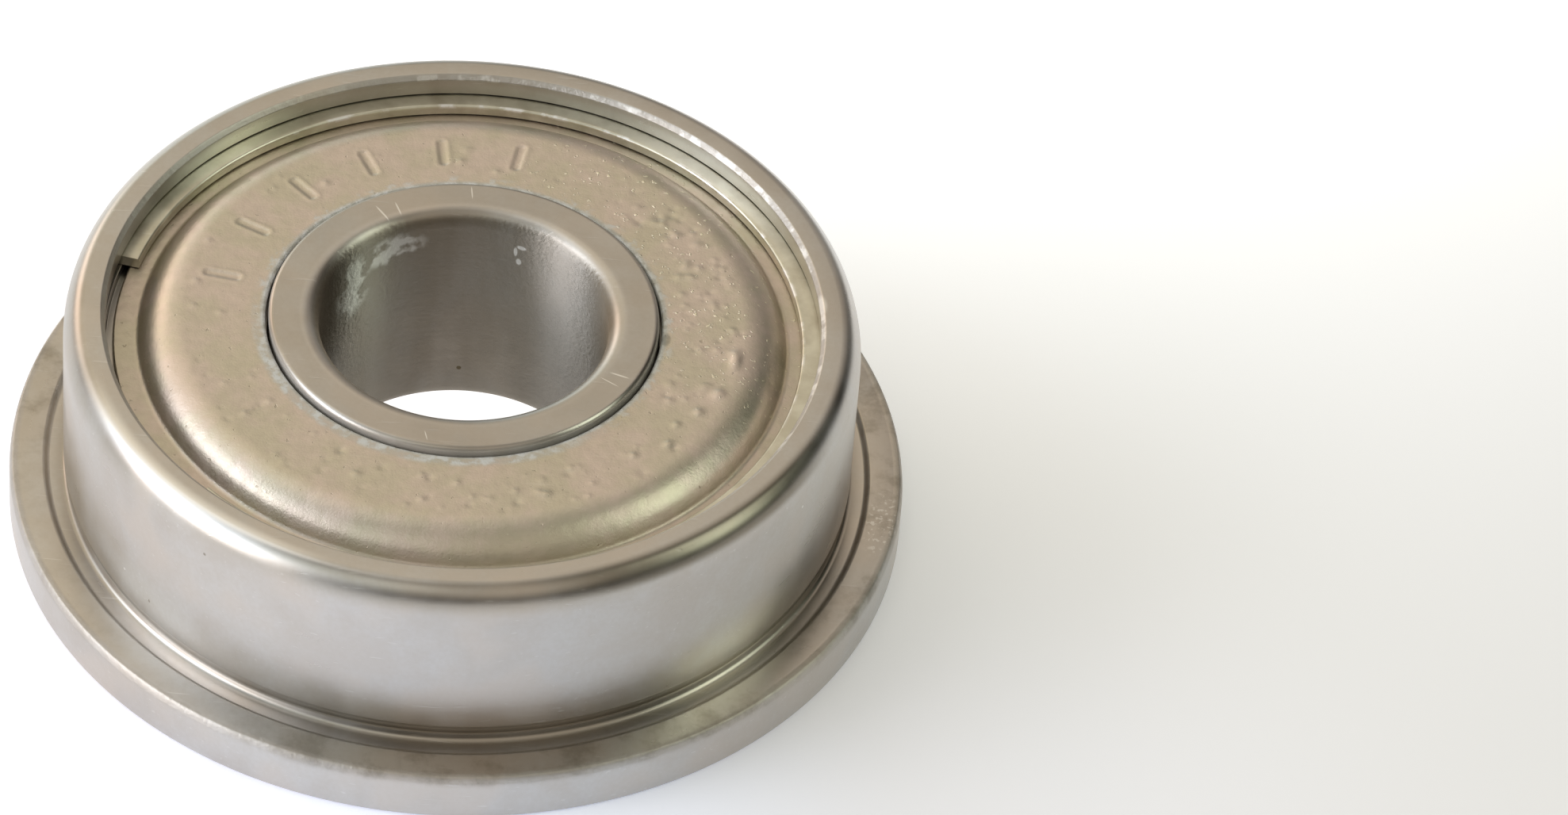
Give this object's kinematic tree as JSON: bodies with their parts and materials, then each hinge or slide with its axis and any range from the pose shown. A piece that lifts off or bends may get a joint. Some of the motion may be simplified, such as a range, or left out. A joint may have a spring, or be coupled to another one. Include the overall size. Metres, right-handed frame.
{
  "type": "flanged ball bearing",
  "caption": "Flanged, double-shielded miniature ball bearing whose inner ring turns on caged balls in the outer ring.",
  "frame": {"origin": "on the bore axis, at the back face of the flange", "axes": "+Z along the bore axis, from the flange towards the plain end; the balls start at +X"},
  "size_m": [0.025, 0.025, 0.007],
  "materials": {
    "ring_steel": "ground and lapped, satin",
    "shield_steel": "pressed sheet, matt",
    "clip_steel": "spring steel, satin",
    "ball_steel": "polished",
    "cage_steel": "pressed strip, satin"
  },
  "bodies": {
    "outer": {"outer_ring": "ring_steel", "front_shield": "shield_steel", "front_snap_ring": "clip_steel", "flange_shield": "shield_steel", "flange_snap_ring": "clip_steel"},
    "inner": {"inner_ring": "ring_steel"},
    "cage": {"cage_front_half": "cage_steel", "cage_flange_half": "cage_steel", "cage_rivet_1": "cage_steel", "cage_rivet_2": "cage_steel", "cage_rivet_3": "cage_steel", "cage_rivet_4": "cage_steel", "cage_rivet_5": "cage_steel", "cage_rivet_6": "cage_steel", "cage_rivet_7": "cage_steel"},
    "ball_body_1": {"ball_1": "ball_steel"},
    "ball_body_2": {"ball_2": "ball_steel"},
    "ball_body_3": {"ball_3": "ball_steel"},
    "ball_body_4": {"ball_4": "ball_steel"},
    "ball_body_5": {"ball_5": "ball_steel"},
    "ball_body_6": {"ball_6": "ball_steel"},
    "ball_body_7": {"ball_7": "ball_steel"}
  },
  "joints": [
    {"name": "inner_spin", "type": "hinge", "parent": "outer", "child": "inner", "pos_m": [0, 0, 0.0035], "axis": [0, 0, 1], "continuous": true},
    {"name": "cage_spin", "type": "hinge", "parent": "outer", "child": "cage", "pos_m": [0, 0, 0.0035], "axis": [0, 0, 1], "continuous": true},
    {"name": "ball_1_spin", "type": "hinge", "parent": "cage", "child": "ball_body_1", "pos_m": [0.0075, 0, 0.0035], "axis": [0, 0, 1], "continuous": true},
    {"name": "ball_2_spin", "type": "hinge", "parent": "cage", "child": "ball_body_2", "pos_m": [0.00468, 0.00586, 0.0035], "axis": [0, 0, 1], "continuous": true},
    {"name": "ball_3_spin", "type": "hinge", "parent": "cage", "child": "ball_body_3", "pos_m": [-0.00167, 0.00731, 0.0035], "axis": [0, 0, 1], "continuous": true},
    {"name": "ball_4_spin", "type": "hinge", "parent": "cage", "child": "ball_body_4", "pos_m": [-0.00676, 0.00325, 0.0035], "axis": [0, 0, 1], "continuous": true},
    {"name": "ball_5_spin", "type": "hinge", "parent": "cage", "child": "ball_body_5", "pos_m": [-0.00676, -0.00325, 0.0035], "axis": [0, 0, 1], "continuous": true},
    {"name": "ball_6_spin", "type": "hinge", "parent": "cage", "child": "ball_body_6", "pos_m": [-0.00167, -0.00731, 0.0035], "axis": [0, 0, 1], "continuous": true},
    {"name": "ball_7_spin", "type": "hinge", "parent": "cage", "child": "ball_body_7", "pos_m": [0.00468, -0.00586, 0.0035], "axis": [0, 0, 1], "continuous": true}
  ],
  "couplings": [
    {"joint": "cage_spin", "follows": "inner_spin", "ratio": 0.3677},
    {"joint": "ball_1_spin", "follows": "inner_spin", "ratio": -1.7573},
    {"joint": "ball_2_spin", "follows": "inner_spin", "ratio": -1.7573},
    {"joint": "ball_3_spin", "follows": "inner_spin", "ratio": -1.7573},
    {"joint": "ball_4_spin", "follows": "inner_spin", "ratio": -1.7573},
    {"joint": "ball_5_spin", "follows": "inner_spin", "ratio": -1.7573},
    {"joint": "ball_6_spin", "follows": "inner_spin", "ratio": -1.7573},
    {"joint": "ball_7_spin", "follows": "inner_spin", "ratio": -1.7573}
  ]
}
